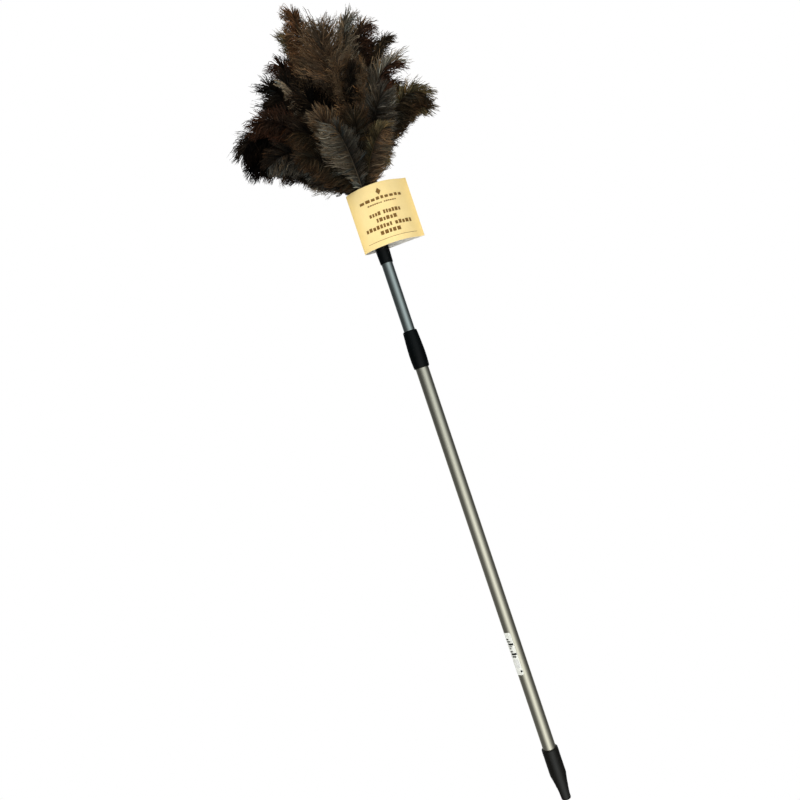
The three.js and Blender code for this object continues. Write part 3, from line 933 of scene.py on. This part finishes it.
# Partly the barbs' own grey, partly painted highlight where plumes face the light.
GREY = dyed("feather_grey", (0.023, 0.019, 0.013), (0.105, 0.088, 0.062), (0.131, 0.110, 0.077))

FRONT = (0.0, -1.0, 0.15)
BACK = (0.0, 1.0, 0.25)
LEFT = (-1.0, 0.25, 0.25)
RIGHT = (1.0, 0.25, 0.25)

# What a plume has unless it says otherwise. Lengths are in millimetres and angles in degrees.
PLUME_DEFAULTS = {
    "face": FRONT,         # where its front looks
    "barb": 66,            # the longest barbs' length,
    "left": 1.0,           # and how much of it each side has
    "right": 1.0,
    "right_side": None,    # shades for the right side's barbs, where they differ
    "density": 2.0,        # how many barbs, to the usual count
    "strand": 1.15,        # barb width
    "bare": 0.10,          # the share of the midrib with short down
    "close": 0.25,         # how much shorter the barbs get at the tip
    "opening": 68.0,       # the angle between the midrib and the barbs,
    "gather": 0.15,        # how much less it is at the tip,
    "sweep": 0.25,         # and how much less at the barbs' ends
    "fall": 46.0,          # how far the barbs' ends turn back from the face
    "sag": 0.15,           # how much they hang
    "curl": 0.80,          # how strong their waves are
    "cling": 0.35,         # how much the ends of a tuft draw together
}


def feather(colour, bend, tip, **own):
    """A plume's settings. The points are in millimetres from the middle of the ferrule's mouth: the
    one that pulls its bend outwards, and its tip."""
    return {**PLUME_DEFAULTS, **colour, "bend": bend, "tip": tip, **own}


# Each ring's plumes, in their order on the CAD model.
CROWN = [
    feather(RUST, (-12, -4, 276), (-17, -8, 322), barb=44, left=1.1, right=0.7, density=2.6),
    feather(BROWN, (56, -10, 268), (84, -10, 264), barb=50, right_side=EMBER),
    feather(BROWN, (2, -42, 180), (10, -64, 244), barb=76, opening=56),
    feather(BROWN, (6, 34, 190), (8, 62, 254), face=BACK),
    feather(GREY, (-44, -36, 176), (-66, -44, 206), barb=50, left=0.5, right_side=NEAR_BLACK_AND_SHADE),
]
UPPER = [
    # Its left side is painted lighter, as a highlight where it faces the light.
    feather(LIT_GREY, (66, -38, 196), (110, -38, 182), barb=54, right=0.75, opening=46, right_side=EMBER),
    feather(DARK, (78, -8, 230), (114, -12, 232), barb=26, opening=40, close=0.0),
    feather(GREY, (16, 78, 150), (24, 120, 160), face=BACK, barb=50, density=2.6),
    feather(RUST, (-38, 68, 150), (-58, 108, 162), face=BACK),
    feather(NEAR_BLACK_AND_SHADE, (-50, -4, 178), (-91, -8, 222), barb=46, density=2.5),
    feather(NEAR_BLACK_AND_SHADE, (-28, -44, 124), (-38, -64, 160), barb=60, right_side=BLACK),
    feather(DARK, (-30, -58, 96), (-60, -88, 104), barb=52, right_side=NEAR_BLACK_AND_SHADE),
    feather(BROWN, (-16, -56, 88), (-28, -92, 112), barb=44, opening=52),
    feather(SLATE, (44, -54, 100), (70, -86, 120), barb=44),
]
LOWER = [
    feather(OLIVE, (98, -20, 168), (140, -28, 126), barb=44, bare=0.3, right_side=DARK, density=2.8),
    feather(BROWN, (50, 46, 106), (72, 76, 98), face=RIGHT, barb=30),
    feather(OLIVE, (38, 84, 112), (60, 124, 96), face=BACK, barb=40),
    feather(BROWN, (0, 96, 118), (0, 142, 98), face=BACK, barb=48),
    feather(GREY, (-44, 86, 114), (-68, 124, 98), face=BACK, barb=48),
    feather(DARK, (-74, 46, 128), (-110, 66, 110), face=LEFT, barb=48),
    feather(BLACK, (-96, -18, 190), (-160, -26, 130), barb=48, density=3.2, right_side=NEAR_BLACK_AND_SHADE),
    feather(SLATE, (-70, -46, 112), (-116, -60, 88), barb=46, right_side=NEAR_BLACK_AND_SHADE),
    feather(DARK, (-36, -60, 72), (-68, -92, 64), barb=38),
    feather(GREY, (0, -60, 64), (-12, -112, 84), barb=50, opening=62, right=0.6, right_side=SLATE),
    feather(OLIVE, (34, -54, 68), (54, -84, 70), barb=34, right_side=BROWN),
    feather(OLIVE, (20, -24, 50), (36, -36, 56), barb=28),
]

# More feathers bound among them, which the CAD model leaves out.
FILLERS = [
    feather(DARK, (-26, 4, 190), (-48, 8, 240), barb=58),
    feather(GREY, (34, -12, 254), (62, -16, 280), barb=42, opening=50),
    feather(BROWN, (40, -6, 140), (72, -10, 172), barb=50),
    feather(OLIVE, (50, -6, 96), (64, -10, 100), barb=30, bare=0.25),
    feather(EMBER, (-70, -24, 176), (-126, -34, 160), barb=44),
    feather(BLACK, (-34, 30, 120), (-56, 40, 146), barb=54, face=LEFT),
    feather(BLACK, (34, 30, 120), (54, 40, 146), barb=40, face=RIGHT),
    feather(DARK, (0, -30, 130), (-16, -46, 210), barb=60),
    feather(BLACK, (0, 30, 130), (0, 60, 190), barb=58, face=BACK),
    feather(DARK, (14, -54, 72), (20, -84, 100), barb=44),
    feather(OLIVE, (-26, 6, 262), (-38, 8, 300), barb=42, opening=56, right=0.6),
    feather(DARK, (40, 4, 220), (84, 8, 246), barb=50),
    feather(EMBER, (66, -14, 172), (104, -14, 158), barb=36),
    feather(OLIVE, (90, -10, 142), (140, -14, 108), barb=40, bare=0.4, right=0.65, density=2.8),
    feather(BLACK, (-96, -10, 148), (-158, -12, 102), barb=40, density=2.9),
    feather(NEAR_BLACK_AND_SHADE, (-56, 6, 180), (-104, 6, 196), barb=44),
    feather(EMBER, (-30, 8, 216), (-65, 0, 254), barb=46),
    feather(NEAR_BLACK_AND_SHADE, (-50, -30, 72), (-104, -38, 68), barb=32),
    feather(NEAR_BLACK_AND_SHADE, (16, -42, 130), (42, -54, 190), barb=26, opening=40),
    feather(DARK, (-74, 20, 150), (-124, 28, 142), barb=50),
    feather(DARK, (80, 4, 136), (122, 6, 120), barb=34, bare=0.3),
    feather(NEAR_BLACK_AND_SHADE, (-50, 10, 176), (-88, 14, 208), barb=40),
    feather(BROWN, (14, -16, 210), (20, -36, 258), face=RIGHT, barb=54),
    feather(RUST, (8, 16, 220), (12, 30, 272), face=RIGHT, barb=50),
    feather(OLIVE, (0, 36, 190), (0, 70, 222), face=RIGHT, barb=56),
    feather(BROWN, (40, -16, 150), (60, -34, 186), face=RIGHT, barb=46),
    feather(GREY, (36, 40, 130), (56, 70, 168), face=RIGHT, barb=50),
    feather(BROWN, (-84, 12, 176), (-134, 14, 138), face=BACK, barb=46),
    feather(DARK, (-84, 8, 130), (-138, 10, 98), face=BACK, barb=40),
]

# The rings' names, the radius their quills stand at, in millimetres, and their plumes.
RINGS = [("crown", 4.35, CROWN), ("upper", 6.75, UPPER), ("lower", 9.15, LOWER), ("filler", 8.0, FILLERS)]
FIRST_SEED = 100


def make_plumes():
    seed = FIRST_SEED
    for ring, radius, members in RINGS:
        for number, member in enumerate(members, 1):
            piece = build_plume(f"{ring}_feather_{number:02d}", {**member, "ring": radius}, seed)
            stands_for = [] if members is FILLERS else [f"{ring}_plume_{number:02d}"]
            finished(piece, FEATHER, "pole", member["slot"], *stands_for)
            seed += 1


# ---- Stage, light and camera --------------------

WHITE = (1.0, 1.0, 1.0)
FLOOR_SIZE = 12.0


def stage():
    """A pale floor, which the camera sees as plain white as the background."""
    corners = [(x * FLOOR_SIZE, y * FLOOR_SIZE, 0) for x, y in ((-1, -1), (1, -1), (1, 1), (-1, 1))]
    floor = new_mesh_object("floor", corners, [(0, 1, 2, 3)])
    tree = Material("floor_paint")
    mottle = tree.noise(6.0, 2.0, 0.5, tree.coordinates())
    tree.look(Base_Color=tree.ramp(mottle, [(0.0, (0.90,) * 3), (1.0, (0.93,) * 3)]), Roughness=0.9)
    white = tree.add("Emission").outputs["Emission"]
    shown = tree.choose("Is Camera Ray", tree.shader.outputs["BSDF"], white)
    tree.feed(tree.nodes["Material Output"], Surface=shown)
    floor.data.materials.append(tree.material)
    floor.visible_glossy = False


# What glossy surfaces see around them: brightness by direction, from -X round by the front, +X and
# the back to -X again, as in a studio with one soft light ahead and dark sides. The light is
# narrower and dimmer above the horizon.
BELOW = [
    (0.00, 0.11), (0.09, 0.14), (0.15, 0.42), (0.20, 0.78), (0.25, 1.22), (0.30, 1.08), (0.35, 0.62),
    (0.41, 0.25), (0.50, 0.08), (0.60, 0.07), (0.70, 0.30), (0.75, 0.50), (0.82, 0.30), (0.90, 0.13),
    (1.00, 0.11),
]
ABOVE = [
    (0.00, 0.05), (0.09, 0.07), (0.16, 0.15), (0.22, 0.36), (0.28, 0.62), (0.33, 0.74), (0.38, 0.48),
    (0.43, 0.22), (0.50, 0.06), (0.60, 0.05), (0.70, 0.30), (0.75, 0.50), (0.82, 0.30), (0.90, 0.08),
    (1.00, 0.05),
]
TINT_BELOW = (1.0, 1.04, 1.02)
TINT_ABOVE = (1.0, 1.09, 1.12)
HORIZON = (-0.10, 0.08)    # between these heights of direction, the lower part fades to the upper
AMBIENT = 0.50


def tinted(stops, tint):
    return [(at, tuple(light * part for part in tint)) for at, light in stops]


def surroundings_colour(tree):
    direction = tree.add("TexCoord").outputs["Generated"]
    around = tree.add("TexGradient", Vector=direction)
    around.gradient_type = "RADIAL"
    below = tree.ramp(around.outputs["Fac"], tinted(BELOW, TINT_BELOW))
    above = tree.ramp(around.outputs["Fac"], tinted(ABOVE, TINT_ABOVE))
    height = tree.add("SeparateXYZ", Vector=direction).outputs["Z"]
    fade = tree.add("MapRange", From_Min=HORIZON[0], From_Max=HORIZON[1], Value=height)
    return tree.blend("MIX", fade.outputs["Result"], below, above)


def world():
    """White where the camera sees it, an even dim light for matt surfaces, and a studio for glossy ones."""
    studio = bpy.data.worlds.new("studio")
    bpy.context.scene.world = studio
    tree = NodeTree(studio)
    seen = tree.nodes["Background"]
    tree.feed(seen, Color=WHITE)
    ambient = tree.add("Background", Color=WHITE, Strength=AMBIENT).outputs["Background"]
    mirrored = tree.add("Background", Color=surroundings_colour(tree)).outputs["Background"]
    lit = tree.choose("Is Glossy Ray", ambient, mirrored)
    shown = tree.choose("Is Camera Ray", lit, seen.outputs["Background"])
    tree.feed(tree.nodes["World Output"], Surface=shown)


def softbox(name, place, target, size, power):
    """A rectangular light that glossy surfaces don't mirror."""
    light = bpy.data.lights.new(name, "AREA")
    light.shape = "RECTANGLE"
    light.size, light.size_y = size
    light.energy = power
    lamp = linked(name, light)
    lamp.location = place
    lamp.rotation_euler = (Vector(target) - Vector(place)).to_track_quat("-Z", "Y").to_euler()
    lamp.visible_glossy = False


def lights():
    middle = (0.0, 0.0, 0.8)
    softbox("key", (-1.5, -1.9, 2.0), middle, (1.0, 1.8), 64.0)
    softbox("fill", (1.9, -1.5, 1.2), middle, (1.0, 1.8), 30.0)
    softbox("back", (0.6, 2.2, 1.9), middle, (1.6, 1.6), 46.0)


def camera():
    data = bpy.data.cameras.new("camera")
    data.lens = CAMERA_LENS
    data.sensor_width = SENSOR
    piece = linked("camera", data)
    facing = Matrix.Rotation(math.radians(90.0), 4, "X")
    roll = Matrix.Rotation(math.radians(CAMERA_ROLL), 4, "Y")
    piece.matrix_world = Matrix.Translation((CAMERA_X, -CAMERA_DISTANCE, CAMERA_Z)) @ roll @ facing
    bpy.context.scene.camera = piece
    bpy.context.scene.view_settings.view_transform = "Standard"


# ---- Put together --------------------

camera()
stage()
world()
lights()

FEATHER = feather_material()
CHAMPAGNE = aluminium_material("champagne_aluminium", (0.70, 0.66, 0.54), (0.78, 0.74, 0.61))
GREY_METAL = aluminium_material("grey_aluminium", (0.46, 0.52, 0.50), (0.54, 0.60, 0.58))
CAP_PLASTIC = plastic_material("cap_plastic", (0.0030, 0.0026, 0.0016), 0.33, 0.42)
GRIP_PLASTIC = plastic_material("grip_plastic", (0.0004, 0.0010, 0.0012), 0.38, 0.18)
# The card's outside is painted a deeper yellow near its sides: painted shade of its curve.
CARD_SIDE_SHADE = (0.70, 0.51, 0.18)
CARD_OUTSIDE = paper_material("card_outside", (0.70, 0.545, 0.245), (0.73, 0.575, 0.265), CARD_SIDE_SHADE)
CARD_INSIDE = paper_material("card_inside", (0.84, 0.82, 0.75), (0.88, 0.86, 0.80))
BROWN_INK = ink_material("brown_ink", (0.13, 0.066, 0.012))
WHITE_FILM = film_material()
BLACK_INK = ink_material("black_ink", (0.010, 0.011, 0.010))
GREY_INK = ink_material("grey_ink", (0.42, 0.42, 0.42))

end_cap()
tubes()
collar_grip()
ferrule()
CARD = CardSurface()
tag_card(CARD)
card_print(CARD)
label()
label_print()
make_plumes()

ACETAL = plastic_material("white_acetal", (0.60, 0.60, 0.56), 0.40)
GREY_PLASTIC = plastic_material("grey_plastic", (0.03, 0.03, 0.03), 0.45)
RED_PLASTIC = plastic_material("red_plastic", (0.26, 0.022, 0.012), 0.42)
STEEL = steel_material()
INNER_MATERIALS = {
    "guide_bush": ACETAL, "expander_sleeve": ACETAL, "lock_plug": GREY_PLASTIC, "wedge_nut": RED_PLASTIC,
    "stud_clip": STEEL, "core_pin": STEEL, "binding_wire_lower": STEEL, "binding_wire_upper": STEEL,
    "head_core": wood_material(),
}
for node, material in INNER_MATERIALS.items():
    frame["nodes"][node].material_slots[0].material = material
